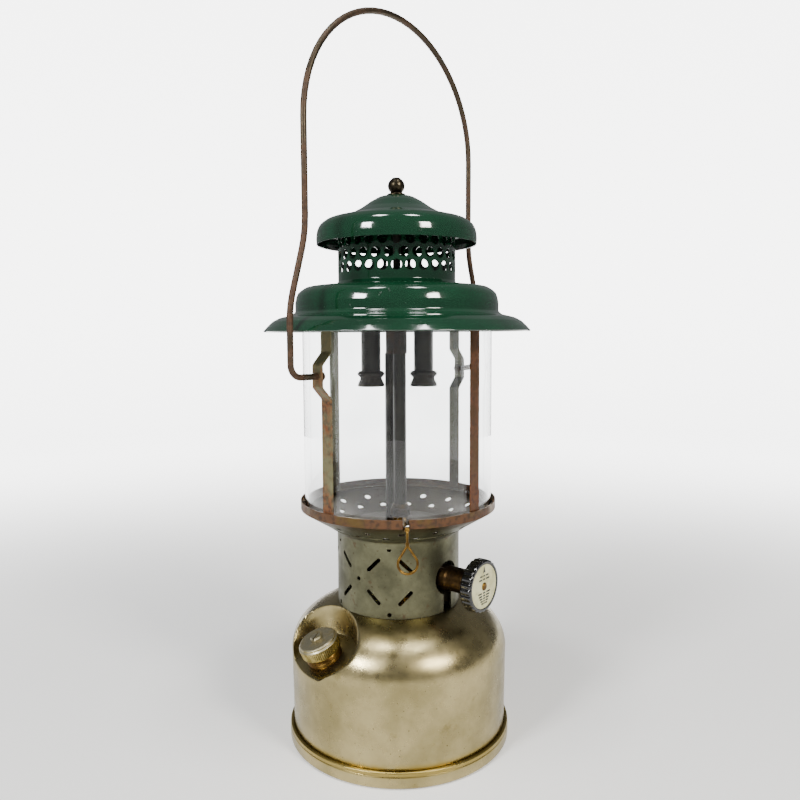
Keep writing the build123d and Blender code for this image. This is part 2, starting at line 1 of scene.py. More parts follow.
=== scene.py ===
import json
from math import acos, ceil, cos, pi, radians, sin, sqrt, tan

import bpy
from bpy.props import FloatProperty, FloatVectorProperty, IntProperty, PointerProperty
from mathutils import Matrix, Vector


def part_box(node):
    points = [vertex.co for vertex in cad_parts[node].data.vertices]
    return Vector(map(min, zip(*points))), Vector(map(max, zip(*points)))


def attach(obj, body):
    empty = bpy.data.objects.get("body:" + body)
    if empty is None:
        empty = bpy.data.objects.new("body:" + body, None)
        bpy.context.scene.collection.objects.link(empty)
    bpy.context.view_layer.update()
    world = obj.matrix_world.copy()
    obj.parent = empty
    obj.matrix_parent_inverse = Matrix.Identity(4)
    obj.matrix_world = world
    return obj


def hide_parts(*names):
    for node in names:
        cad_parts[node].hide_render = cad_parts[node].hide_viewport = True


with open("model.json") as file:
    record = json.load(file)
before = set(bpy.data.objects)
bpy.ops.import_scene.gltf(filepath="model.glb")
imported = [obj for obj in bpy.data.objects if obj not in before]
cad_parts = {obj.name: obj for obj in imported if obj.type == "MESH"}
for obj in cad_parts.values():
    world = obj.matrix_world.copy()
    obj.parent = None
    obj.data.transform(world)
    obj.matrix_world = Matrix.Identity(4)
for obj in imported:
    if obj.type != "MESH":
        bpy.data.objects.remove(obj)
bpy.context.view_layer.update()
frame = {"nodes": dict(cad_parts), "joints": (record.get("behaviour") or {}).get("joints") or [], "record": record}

bl_info = {
    "name": "Pressure Lantern",
    "version": (1, 0, 0),
    "blender": (4, 5, 0),
    "location": "View3D > Sidebar > Lantern",
    "description": "Builds the visible pieces of a two-mantle pressure lantern round its CAD frame",
    "category": "Add Mesh",
}

MM = 0.001
BODY = "lantern"


# ---------------------------------------------------------------- colours and node helpers
def linear(code):
    """Linear red, green, blue and alpha of an sRGB hex colour."""
    shares = [int(code[i:i + 2], 16) / 255 for i in (1, 3, 5)]
    return [s / 12.92 if s <= 0.04045 else ((s + 0.055) / 1.055) ** 2.4 for s in shares] + [1.0]


def add(tree, kind, inputs=(), **settings):
    """Adds one node. Settings are its own values; inputs are socket values or sockets to join."""
    made = tree.nodes.new(kind)
    for key, value in settings.items():
        setattr(made, key, value)
    for socket, value in dict(inputs).items():
        if isinstance(value, bpy.types.NodeSocket):
            tree.links.new(value, made.inputs[socket])
        else:
            made.inputs[socket].default_value = value
    return made


def surface(name, **values):
    """New material with one Principled shader, and the place of each point in metres."""
    material = bpy.data.materials.new(name)
    material.use_nodes = True
    tree = material.node_tree
    tree.nodes.clear()
    shader = add(tree, "ShaderNodeBsdfPrincipled", values)
    add(tree, "ShaderNodeOutputMaterial", {"Surface": shader.outputs["BSDF"]})
    place = add(tree, "ShaderNodeTexCoord").outputs["Object"]
    return material, tree, shader, place


def patches(tree, place, size, low, high, detail=5.0, stretch=(1, 1, 1)):
    """Cloudy pattern of a real size in metres: 0 below the low level, 1 above the high one."""
    squeezed = add(tree, "ShaderNodeMapping", {"Vector": place, "Scale": stretch})
    cloud = add(tree, "ShaderNodeTexNoise", {
        "Vector": squeezed.outputs["Vector"], "Scale": 1 / size, "Detail": detail, "Roughness": 0.6,
    })
    level = add(tree, "ShaderNodeMapRange", {
        "Value": cloud.outputs["Fac"], "From Min": low, "From Max": high,
    }, interpolation_type="SMOOTHSTEP")
    return level.outputs["Result"]


def band(tree, place, low, high, top=1.0):
    """Rises from 0 to top between two heights, or falls where low is above high."""
    height = add(tree, "ShaderNodeSeparateXYZ", {"Vector": place}).outputs["Z"]
    level = add(tree, "ShaderNodeMapRange", {
        "Value": height, "From Min": low, "From Max": high, "To Max": top,
    }, interpolation_type="SMOOTHSTEP")
    return level.outputs["Result"]


def sums(tree, operation, a, b):
    """One sum on two values or sockets."""
    return add(tree, "ShaderNodeMath", {0: a, 1: b}, operation=operation).outputs[0]


def tint(tree, share, a, b):
    """Colour a where the share is 0 and colour b where it is 1."""
    mixed = add(tree, "ShaderNodeMix", {0: share, 6: a, 7: b}, data_type="RGBA")
    return mixed.outputs[2]


def relief(tree, shader, height, depth):
    """Bumps the shader by a height pattern whose full step is a depth in metres."""
    bump = add(tree, "ShaderNodeBump", {"Height": height, "Distance": depth, "Strength": 1.0})
    tree.links.new(bump.outputs["Normal"], shader.inputs["Normal"])


def rough(tree, shader, share, low, high):
    """Roughness that runs from low to high with the share."""
    level = add(tree, "ShaderNodeMapRange", {"Value": share, "To Min": low, "To Max": high})
    tree.links.new(level.outputs["Result"], shader.inputs["Roughness"])


def coloured(tree, shader, colour):
    """Joins a colour to the shader."""
    tree.links.new(colour, shader.inputs["Base Color"])


# ---------------------------------------------------------------- materials
def fired_enamel(colours):
    """Vitreous enamel, fired on pressed steel: deep wet gloss, faint ripple, dull specks of soot."""
    material, tree, shader, place = surface(
        "fired_green_enamel", IOR=1.5, **{"Coat Weight": 0.6, "Coat Roughness": 0.04}
    )
    pooled = patches(tree, place, 0.040, 0.32, 0.70)
    green = tint(tree, pooled, list(colours.enamel), linear("#0d3320"))
    soot = patches(tree, place, 0.0035, 0.66, 0.74, 3.0)
    coloured(tree, shader, tint(tree, sums(tree, "MULTIPLY", soot, 0.5), green, linear("#08140d")))
    rough(tree, shader, soot, 0.10, 0.40)
    relief(tree, shader, patches(tree, place, 0.012, 0.2, 0.8, 1.5), 0.00007)
    return material


def worn_nickel(colours):
    """Nickel plate on drawn brass, hand polished for years: warm, cloudy, brassy at its edges."""
    material, tree, shader, place = surface("worn_nickel_plate", Metallic=1.0)
    cloud = patches(tree, place, 0.036, 0.30, 0.72)
    plate = tint(tree, cloud, list(colours.nickel), linear("#857a54"))
    stain = patches(tree, place, 0.010, 0.58, 0.72)
    plate = tint(tree, sums(tree, "MULTIPLY", stain, 0.4), plate, linear("#6f6238"))
    below_seam, above_seam = band(tree, place, 0.0065, 0.0085), band(tree, place, 0.0155, 0.0115)
    seam = sums(tree, "MULTIPLY", above_seam, below_seam)
    worn = sums(tree, "MULTIPLY", seam, patches(tree, place, 0.012, 0.25, 0.50))
    plate = tint(tree, sums(tree, "MULTIPLY", worn, 0.7), plate, linear("#97823c"))
    runs = patches(tree, place, 0.0042, 0.70, 0.76, 3.0, (1, 1, 0.09))
    plate = tint(tree, sums(tree, "MULTIPLY", runs, 0.5), plate, linear("#4b4128"))
    pits = patches(tree, place, 0.0017, 0.70, 0.75, 2.0)
    coloured(tree, shader, tint(tree, sums(tree, "MULTIPLY", pits, 0.85), plate, linear("#2c2415")))
    rough(tree, shader, patches(tree, place, 0.013, 0.3, 0.7), 0.24, 0.36)
    fine = patches(tree, place, 0.0012, 0.3, 0.8, 2.0, (1, 1, 5))
    dents = patches(tree, place, 0.024, 0.2, 0.8, 1.0)
    relief(tree, shader, sums(tree, "ADD", sums(tree, "MULTIPLY", fine, 0.06), dents), 0.00020)
    return material


def dull_nickel(colours, name, inside=None):
    """Nickel plate that heat has dulled on pressed steel: grey-green, soft sheen, rust freckles.

    An inside colour is the brown soot on the faces that look up.
    """
    material, tree, shader, place = surface(name, Metallic=0.9)
    cloud = patches(tree, place, 0.020, 0.30, 0.72)
    plate = tint(tree, cloud, list(colours.collar), linear("#4a4937"))
    rust = patches(tree, place, 0.0085, 0.60, 0.70)
    plate = tint(tree, sums(tree, "MULTIPLY", rust, 0.55), plate, linear("#4a3220"))
    freckle = patches(tree, place, 0.0024, 0.66, 0.72, 2.0)
    plate = tint(tree, sums(tree, "MULTIPLY", freckle, 0.7), plate, linear("#3c2a18"))
    plate = tint(tree, band(tree, place, 0.1495, 0.1555, 0.9), plate, linear("#4d3b24"))
    if inside:
        facing_up = add(tree, "ShaderNodeNewGeometry").outputs["Normal"]
        upward = add(tree, "ShaderNodeMapRange", {
            "Value": add(tree, "ShaderNodeSeparateXYZ", {"Vector": facing_up}).outputs["Z"],
            "From Min": 0.1, "From Max": 0.3,
        }).outputs["Result"]
        soot = tint(tree, patches(tree, place, 0.018, 0.35, 0.65), inside, linear("#2a2014"))
        plate = tint(tree, upward, plate, soot)
        dulled = add(tree, "ShaderNodeMapRange", {"Value": upward, "To Min": 0.9, "To Max": 0.45})
        tree.links.new(dulled.outputs["Result"], shader.inputs["Metallic"])
    coloured(tree, shader, plate)
    rough(tree, shader, cloud, 0.36, 0.52)
    relief(tree, shader, patches(tree, place, 0.0022, 0.3, 0.8, 4.0), 0.00004)
    return material


def rusted_steel(name, clean, rusty, deep, share, hot=(0.200, 0.150)):
    """Rolled steel strip or wire that rusts from one end: dull metal going to brown scale.

    The share is the rust that is everywhere, and the rest sets in between the two hot heights.
    """
    material, tree, shader, place = surface(name)
    spread = patches(tree, place, 0.014, 0.30, 0.66)
    reach = sums(tree, "ADD", band(tree, place, hot[0], hot[1]), share)
    product = add(tree, "ShaderNodeMath", {0: spread, 1: reach}, operation="MULTIPLY", use_clamp=True)
    rust = product.outputs[0]
    scale = tint(tree, patches(tree, place, 0.0030, 0.42, 0.62, 4.0), rusty, deep)
    coloured(tree, shader, tint(tree, rust, clean, scale))
    metal = add(tree, "ShaderNodeMapRange", {"Value": rust, "To Min": 0.9, "To Max": 0.35})
    tree.links.new(metal.outputs["Result"], shader.inputs["Metallic"])
    rough(tree, shader, rust, 0.36, 0.60)
    relief(tree, shader, patches(tree, place, 0.0016, 0.35, 0.75, 4.0), 0.00006)
    return material


def blackened_metal(name, base, grey, shine):
    """Steel blued and sooted by flame: near black, streaked along its length, with a low sheen."""
    material, tree, shader, place = surface(name, Metallic=0.7)
    streak = patches(tree, place, 0.005, 0.40, 0.70, 5.0, (1, 1, 0.2))
    coloured(tree, shader, tint(tree, streak, base, grey))
    rough(tree, shader, streak, shine, shine + 0.2)
    relief(tree, shader, patches(tree, place, 0.0012, 0.3, 0.8, 3.0), 0.00004)
    return material


def sand_casting(name, base, rusty):
    """Sand-cast iron: coarse grain, brown scale in the hollows, hardly any shine."""
    material, tree, shader, place = surface(name, Metallic=0.4)
    scale = patches(tree, place, 0.007, 0.40, 0.66)
    coloured(tree, shader, tint(tree, scale, base, rusty))
    rough(tree, shader, scale, 0.45, 0.70)
    relief(tree, shader, patches(tree, place, 0.0011, 0.3, 0.75, 5.0), 0.00012)
    return material


def tarnished_brass(name, bright, dark, shine=0.28):
    """Turned brass left to tarnish: yellow where it is handled, brown in the hollows."""
    material, tree, shader, place = surface(name, Metallic=1.0)
    tarnish = patches(tree, place, 0.006, 0.34, 0.66)
    coloured(tree, shader, tint(tree, tarnish, bright, dark))
    rough(tree, shader, tarnish, shine, shine + 0.2)
    relief(tree, shader, patches(tree, place, 0.0012, 0.3, 0.8, 3.0), 0.00002)
    return material


def moulded_phenolic(colours):
    """Phenolic plastic, compression moulded: jet black with a deep gloss and worn flute tips."""
    material, tree, shader, place = surface("moulded_phenolic", IOR=1.55)
    worn = patches(tree, place, 0.005, 0.45, 0.75)
    coloured(tree, shader, tint(tree, worn, list(colours.knob), linear("#0d0c0b")))
    rough(tree, shader, worn, 0.14, 0.32)
    relief(tree, shader, patches(tree, place, 0.0015, 0.3, 0.8, 2.0), 0.00002)
    return material


def printed_cream(colours):
    """Lacquered aluminium disc with a cream ground: satin, yellowed and lightly soiled."""
    material, tree, shader, place = surface("lacquered_cream")
    age = patches(tree, place, 0.008, 0.35, 0.70)
    coloured(tree, shader, tint(tree, age, list(colours.disc), linear("#b1ad7c")))
    rough(tree, shader, age, 0.32, 0.5)
    relief(tree, shader, patches(tree, place, 0.003, 0.3, 0.8, 2.0), 0.00002)
    return material


def screened_ink():
    """Black silk-screen ink: thin, slightly uneven, dull."""
    material, tree, shader, place = surface("screened_ink", Roughness=0.5)
    thin = patches(tree, place, 0.0012, 0.5, 0.8)
    coloured(tree, shader, tint(tree, thin, linear("#0c0c09"), linear("#2a2920")))
    return material


def blown_glass():
    """Borosilicate glass, blown and cut: clear, a trace grey, with faint drawn lines up its wall."""
    clear = {"Transmission Weight": 1.0, "Specular IOR Level": 0.06}
    material, tree, shader, place = surface("blown_borosilicate", Roughness=0.0, IOR=1.47, **clear)
    coloured(tree, shader, tint(
        tree, patches(tree, place, 0.05, 0.4, 0.7), linear("#fcfdfd"), linear("#f2f4f4")
    ))
    relief(tree, shader, patches(tree, place, 0.020, 0.2, 0.8, 0.0, (1, 1, 0.15)), 0.00001)
    return material


def oiled_leather():
    """Oiled cup leather: dark brown, close pores."""
    material, tree, shader, place = surface("oiled_leather", Roughness=0.6)
    grain = patches(tree, place, 0.0012, 0.35, 0.7)
    coloured(tree, shader, tint(tree, grain, linear("#4a2d18"), linear("#2c190d")))
    relief(tree, shader, grain, 0.00008)
    return material


def moulded_rubber():
    """Nitrile rubber, moulded: flat black with a dusty bloom."""
    material, tree, shader, place = surface("moulded_nitrile", Roughness=0.8)
    bloom = patches(tree, place, 0.003, 0.4, 0.7)
    coloured(tree, shader, tint(tree, bloom, linear("#121212"), linear("#262422")))
    return material


def studio_paper():
    """Matt white paper, lit through more the farther it is behind the object: a trace of tooth."""
    material, tree, shader, place = surface(
        "matt_paper", Roughness=0.9, **{"Emission Color": linear("#ffffff")}
    )
    tooth = patches(tree, place, 0.004, 0.3, 0.7)
    coloured(tree, shader, tint(tree, tooth, linear("#f4f4f2"), linear("#f1f1ef")))
    away = add(tree, "ShaderNodeVectorMath", {0: place}, operation="LENGTH").outputs["Value"]
    far = add(tree, "ShaderNodeMapRange", {
        "Value": away, "From Min": 0.1, "From Max": 1.4,
    }, interpolation_type="SMOOTHSTEP").outputs["Result"]
    behind = add(tree, "ShaderNodeMapRange", {
        "Value": add(tree, "ShaderNodeSeparateXYZ", {"Vector": place}).outputs["Y"],
        "From Min": -0.3, "From Max": 0.9,
    }, interpolation_type="SMOOTHSTEP").outputs["Result"]
    glow = add(tree, "ShaderNodeMapRange", {
        "Value": sums(tree, "MULTIPLY", far, behind), "To Min": 0.25, "To Max": 5.0,
    })
    tree.links.new(glow.outputs["Result"], shader.inputs["Emission Strength"])
    return material


def make_finishes(colours):
    """Every finish of the lantern by the name of its record slot, and a few that only show here."""
    deep = linear("#33200f")
    return {
        "green_enamel": fired_enamel(colours),
        "fount_nickel": worn_nickel(colours),
        "collar_nickel": dull_nickel(colours, "heat_dulled_nickel"),
        "dish_nickel": dull_nickel(colours, "sooted_dish_nickel", linear("#3d3524")),
        "aged_steel": rusted_steel(
            "tarnished_strip", linear("#7a7758"), linear("#6e4220"), deep, 0.12, (0.275, 0.238)
        ),
        "rusty_steel": rusted_steel(
            "rusted_strip", linear("#553c22"), linear("#5c3519"), linear("#3f2511"), 0.9
        ),
        "rim_steel": rusted_steel(
            "browned_rim", linear("#5c4a2c"), linear("#56371c"), linear("#3a2613"), 0.75
        ),
        "grey_strip": rusted_steel("grey_strip", linear("#6f6e60"), linear("#4d3a28"), deep, 0.15),
        "rusty_wire": rusted_steel(
            "rusted_bail_wire", linear("#3f382c"), linear("#47301d"), deep, 0.75, (0.42, 0.30)
        ),
        "blackened_iron": blackened_metal("flame_blued_tube", linear("#15130f"), linear("#2b2822"), 0.30),
        "cast_burner": sand_casting("sooted_burner_casting", linear("#1b1713"), linear("#2f2920")),
        "cast_manifold": sand_casting("scaled_manifold_casting", linear("#1f1813"), linear("#3c2a1c")),
        "aged_brass": tarnished_brass("tarnished_brass", linear("#80632f"), linear("#4f391b")),
        "browned_brass": tarnished_brass("heat_browned_brass", linear("#3f2f1a"), linear("#241a10"), 0.34),
        "dark_bronze": tarnished_brass("darkened_bronze", linear("#4c4536"), linear("#26221a"), 0.22),
        "cap_nickel": tarnished_brass("rubbed_nickel_cap", linear("#b0aa90"), linear("#8d8364"), 0.38),
        "cap_brass": tarnished_brass("rubbed_brass_knurl", linear("#aa9a62"), linear("#756737"), 0.26),
        "black_bakelite": moulded_phenolic(colours),
        "cream_paint": printed_cream(colours),
        "ink": screened_ink(),
        "clear_glass": blown_glass(),
        "pump_leather": oiled_leather(),
        "rubber_seal": moulded_rubber(),
        "steel_gauze": blackened_metal("woven_steel_gauze", linear("#3a3832"), linear("#1f1e1a"), 0.45),
        "paper": studio_paper(),
    }


FINISHES = {}


# ---------------------------------------------------------------- mesh helpers
def outward(azimuth):
    """Level direction that points away from the lantern's axis; 0 is the front, 90 the right."""
    return Vector((sin(radians(azimuth)), -cos(radians(azimuth)), 0))


def facing(origin, normal, right):
    """Matrix whose Z is the normal, X is to the right and Y is up the face."""
    up = normal.cross(right).normalized()
    return Matrix.Translation(origin) @ Matrix((right, up, normal)).transposed().to_4x4()


def rounded(corners, steps=4):
    """Outline with its corners turned to arcs. A corner is (x, y), or (x, y, radius) to round it."""
    outline = []
    for k, corner in enumerate(corners):
        here = Vector(corner[:2])
        radius = corner[2] if len(corner) > 2 else 0
        if not radius or k in (0, len(corners) - 1):
            outline.append(here)
            continue
        back = (Vector(corners[k - 1][:2]) - here)
        ahead = (Vector(corners[k + 1][:2]) - here)
        half = back.angle(ahead) / 2
        cut = min(radius / tan(half), back.length * 0.49, ahead.length * 0.49)
        radius = cut * tan(half)
        middle = here + (back.normalized() + ahead.normalized()).normalized() * radius / sin(half)
        start, end = here + back.normalized() * cut, here + ahead.normalized() * cut
        sweep = (start - middle).angle_signed(end - middle)
        turns = max(2, ceil(steps * abs(sweep) / (pi / 2)))
        for step in range(turns + 1):
            arm = (start - middle).copy()
            arm.rotate(Matrix.Rotation(-sweep * step / turns, 2))
            outline.append(middle + arm)
    return outline


def finish_piece(name, mesh, finish, body=BODY, replaces=(), crease=35):
    """Makes the object, smooths it up to an angle, gives it its finish and body, and hides the CAD nodes it
    replaces.
    """
    mesh.validate()
    for polygon in mesh.polygons:
        polygon.use_smooth = True
    mesh.set_sharp_from_angle(angle=radians(crease))
    mesh.materials.append(FINISHES[finish])
    piece = bpy.data.objects.new(name, mesh)
    bpy.context.scene.collection.objects.link(piece)
    weighted = piece.modifiers.new("weighted_normals", "WEIGHTED_NORMAL")
    weighted.keep_sharp = True
    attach(piece, body)
    if replaces:
        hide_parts(*replaces)
    return piece


def lathe(outline, segments, place=None, flutes=None, shift=None):
    """Mesh turned from a closed (radius, height) outline in millimetres.

    Flutes are (count, depth, low, high): grooves round the edge between two heights. Shift is a
    function that moves a point after turning. Points on the axis become one vertex.
    """
    vertices, faces, rings = [], [], []
    for radius, height in outline:
        if radius < 1e-6:
            rings.append([len(vertices)])
            vertices.append(Vector((0, 0, height)) * MM)
            continue
        ring = []
        for k in range(segments):
            angle = 2 * pi * k / segments
            reach = radius
            if flutes and flutes[2] <= height <= flutes[3]:
                reach -= flutes[1] * (0.5 - 0.5 * cos(angle * flutes[0])) ** 2
            ring.append(len(vertices))
            vertices.append(Vector((reach * cos(angle), reach * sin(angle), height)) * MM)
        rings.append(ring)
    for a, b in zip(rings, rings[1:] + rings[:1]):
        if len(a) == 1 and len(b) == 1:
            continue
        for k in range(segments):
            n = (k + 1) % segments
            if len(a) == 1:
                faces.append((a[0], b[n], b[k]))
            elif len(b) == 1:
                faces.append((a[k], a[n], b[0]))
            else:
                faces.append((a[k], a[n], b[n], b[k]))
    if place:
        vertices = [place @ v for v in vertices]
    if shift:
        vertices = [shift(v) for v in vertices]
    mesh = bpy.data.meshes.new("turned")
    mesh.from_pydata(vertices, [], faces)
    return outward_faces(mesh)


def outward_faces(mesh):
    """Turns the faces so that the closed mesh has its normals outside."""
    volume = 0
    for polygon in mesh.polygons:
        a = mesh.vertices[polygon.vertices[0]].co
        for i, j in zip(polygon.vertices[1:], polygon.vertices[2:]):
            volume += a.dot(mesh.vertices[i].co.cross(mesh.vertices[j].co))
    if volume < 0:
        mesh.flip_normals()
    return mesh


def swept(path, section):
    """Mesh of a section carried along an open path. The section is a list of (side, up) offsets."""
    count, sides = len(path), len(section)
    vertices, faces = [], []
    side = None
    for k, point in enumerate(path):
        before = path[max(k - 1, 0)]
        after = path[min(k + 1, count - 1)]
        ahead = (after - before).normalized()
        if side is None:
            side = ahead.orthogonal().normalized()
        side = (side - ahead * side.dot(ahead)).normalized()
        up = ahead.cross(side)
        vertices += [point + side * s + up * u for s, u in section]
    for k in range(count - 1):
        for j in range(sides):
            m = (j + 1) % sides
            faces.append((k * sides + j, k * sides + m, (k + 1) * sides + m, (k + 1) * sides + j))
    faces.append(tuple(range(sides)))
    faces.append(tuple(range((count - 1) * sides, count * sides)))
    mesh = bpy.data.meshes.new("swept")
    mesh.from_pydata(vertices, [], faces)
    return outward_faces(mesh)


def circle(radius, sides=16):
    """Round section for a wire, in metres."""
    return [(radius * cos(2 * pi * k / sides), radius * sin(2 * pi * k / sides)) for k in range(sides)]


def joined(*meshes):
    """One mesh made of several closed ones."""
    vertices, faces = [], []
    for mesh in meshes:
        base = len(vertices)
        vertices += [v.co.copy() for v in mesh.vertices]
        faces += [tuple(base + i for i in p.vertices) for p in mesh.polygons]
    whole = bpy.data.meshes.new("joined")
    whole.from_pydata(vertices, [], faces)
    return whole


def prism(outline, low, high, place):
    """Closed block between two heights of a flat outline, in millimetres."""
    count = len(outline)
    vertices = [place @ (Vector((x, y, z)) * MM) for z in (low, high) for x, y in outline]
    faces = [(k, (k + 1) % count, count + (k + 1) % count, count + k) for k in range(count)]
    faces += [tuple(range(count)), tuple(range(count, 2 * count))]
    mesh = bpy.data.meshes.new("prism")
    mesh.from_pydata(vertices, [], faces)
    return outward_faces(mesh)


def top_of(node):
    """Highest point of a CAD node, in millimetres."""
    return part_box(node)[1].z / MM


def foot_of(node):
    """Lowest point of a CAD node, in millimetres."""
    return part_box(node)[0].z / MM


def reach_of(node):
    """Half the width of a CAD node that is centred on the axis, in millimetres."""
    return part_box(node)[1].x / MM


def joint_place(name):
    """Origin and axis of a joint, as the frame gives them; a slide has no origin."""
    joint = next(j for j in frame["joints"] if j["name"] == name)
    return Vector(joint.get("pos_m", (0, 0, 0))), Vector(joint["axis"]).normalized()


def joint_face(name):
    """Face at right angles to a joint's axis, with its Y as near to upright as can be."""
    origin, axis = joint_place(name)
    right = Vector((0, 0, 1)).cross(axis).normalized()
    return facing(origin, axis, right)


# ---------------------------------------------------------------- settings
class LanternSizes(bpy.types.PropertyGroup):
    """Sizes of the visible pieces that the CAD frame doesn't settle."""

    round_steps: IntProperty(
        name="Round steps", description="Flat sides round a large turned piece", default=192, min=48
    )
    wire_sides: IntProperty(
        name="Wire sides", description="Flat sides round a wire", default=20, min=8
    )
    floor_size: FloatProperty(
        name="Floor size", description="Width of the paper sweep", default=4.0, unit="LENGTH"
    )


class LanternColours(bpy.types.PropertyGroup):
    """Main colours of the finishes."""

    enamel: FloatVectorProperty(
        name="Enamel", description="Ventilator enamel", subtype="COLOR", size=4,
        default=linear("#0a2a1a"),
    )
    nickel: FloatVectorProperty(
        name="Tank plate", description="Nickel plate on the tank", subtype="COLOR", size=4,
        default=linear("#ab9d73"),
    )
    collar: FloatVectorProperty(
        name="Collar plate", description="Dulled plate on the collar", subtype="COLOR", size=4,
        default=linear("#66654e"),
    )
    knob: FloatVectorProperty(
        name="Knob", description="Moulded knob", subtype="COLOR", size=4, default=linear("#050506"),
    )
    disc: FloatVectorProperty(
        name="Disc", description="Ground of the direction disc", subtype="COLOR", size=4,
        default=linear("#d2cfa0"),
    )


# ---------------------------------------------------------------- pieces
class LANTERN_OT_finishes(bpy.types.Operator):
    """Make the finishes, and lay them on the CAD pieces that keep their own shape."""

    bl_idname = "lantern.finishes"
    bl_label = "Finishes"

    def execute(self, context):
        FINISHES.update(make_finishes(context.scene.lantern_colours))
        special = {
            "frame_dish": "dish_nickel", "globe_rest": "dish_nickel", "cage_top_ring": "grey_strip",
            "frame_rim": "rim_steel", "filler_cap_screw": "cap_nickel",
        }
        for row in frame["record"]["subparts"]:
            node = frame["nodes"][row["node"]]
            node.data.materials.clear()
            node.data.materials.append(FINISHES[special.get(row["node"], row["material_slot"])])
            for polygon in node.data.polygons:
                polygon.use_smooth = True
            node.data.set_sharp_from_angle(angle=radians(30))
        return {"FINISHED"}


class LANTERN_OT_tank(bpy.types.Operator):
    """Make the tank with its pressed shoulder and filler pocket, and the base pan with its seam."""

    bl_idname = "lantern.tank"
    bl_label = "Tank"

    def execute(self, context):
        sizes = context.scene.lantern_sizes
        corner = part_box("fount_shell")[1]
        wide, top = corner.x / MM, corner.z / MM
        foot, shoulder, run, taper, courses = 1.6, 61.5, 43.2, 0.85, 70
        wall = [
            Vector((wide - taper + taper * k / courses, foot + (shoulder - foot) * k / courses))
            for k in range(courses)
        ]
        dome = [
            Vector((wide - run + run * cos(radians(t)), shoulder + (top - shoulder) * sin(radians(t))))
            for t in range(91)
        ]
        outline = [Vector((0, foot)), *wall, *dome, Vector((0, top))]
        face = joint_face("cap_turn")
        inverse = face.inverted()
        floor_reach, oval, blend, bottom_round = 20.3 * MM, 24.0 / 20.5, 2.6 * MM, 0.9 * MM
        steep, gentle = 5.0, 1.2

        def pressed(point):
            """Presses a point down to the filler's pocket, whose wall is gentler towards the front."""
            local = inverse @ point
            if local.z < -3 * MM or point.z < 40 * MM or Vector((point.x, point.y)).length < 20 * MM:
                return point
            past_floor = max(0.0, Vector((local.x / oval, local.y)).length - floor_reach)
            toward_front = max(0.0, local.x / max(Vector((local.x, local.y)).length, MM)) ** 2
            slope = steep - (steep - gentle) * toward_front
            depth = slope * (sqrt(past_floor * past_floor + bottom_round ** 2) - bottom_round)
            share = max(blend - abs(local.z - depth), 0) / blend
            local.z = min(local.z, depth) - share * share * blend / 4
            return face @ local

        mesh = lathe(outline, sizes.round_steps * 2, shift=pressed)
        finish_piece("tank_shell", mesh, "fount_nickel", replaces=["fount_shell"])

        rim, seam = reach_of("fount_base_plate"), top_of("fount_base_plate")
        pan = rounded([
            (0, 7.4), (62, 5, 4), (66.2, 0.2, 1.4), (73.2, 0.2, 1.4),
            (rim, 1.4, 1.2), (rim, seam - 3.2, 1.5),
            (rim - 0.5, seam - 2.6, 0.6), (rim - 0.1, seam - 1.9, 0.6), (rim - 0.3, seam - 0.5, 0.7),
            (rim - 1.2, seam, 0.7), (rim - 2.5, seam - 0.2, 0.3), (rim - 2.6, 1.6, 0.2), (66.9, 1.6, 1.0),
            (62.6, 6.2, 4), (0, 8.6),
        ])
        mesh = lathe(pan, sizes.round_steps)
        finish_piece("base_pan", mesh, "fount_nickel", replaces=["fount_base_plate"])
        return {"FINISHED"}


class LANTERN_OT_filler(bpy.types.Operator):
    """Make the knurled filler cap and its threaded neck."""

    bl_idname = "lantern.filler"
    bl_label = "Filler cap"

    def execute(self, context):
        face = joint_face("cap_turn")
        foot, top, wide = 5.8, 14.4, 13.1
        cap = rounded([
            (2.0, top), (11.0, top, 0.4), (11.9, top - 0.5, 0.4), (12.1, top - 1.3, 0.3),
            (wide, top - 2.0, 0.5),
            (wide, top - 2.6), (wide, foot + 1.6), (wide, foot + 0.9), (wide - 0.3, foot, 0.3),
            (11.9, foot, 0.2), (11.9, 12.3), (2.0, 12.3), (2.0, top),
        ])[:-1]
        mesh = lathe(cap, 320, face, (64, 0.5, foot + 1.2, top - 2.4))
        piece = finish_piece("knurled_cap", mesh, "cap_brass", "filler_cap", ["filler_cap_shell"], 50)
        piece.data.materials.append(FINISHES["cap_nickel"])
        normal = face.to_3x3().col[2]
        for polygon in piece.data.polygons:
            height = (face.inverted() @ polygon.center).z / MM
            if height > top - 2.2 and polygon.normal.dot(normal) > 0.3:
                polygon.material_index = 1
        neck = []
        for turn in range(4):
            z = 0.4 + turn * 1.3
            neck += [(11.55, z), (11.0, z + 0.65)]
        neck = [(9.6, -1.0), (11.55, -1.0)] + neck + [(11.3, 8.8), (9.6, 8.8)]
        mesh = lathe([Vector(p) for p in neck], 96, face)
        finish_piece("threaded_neck", mesh, "aged_brass", replaces=["filler_neck"], crease=70)
        return {"FINISHED"}


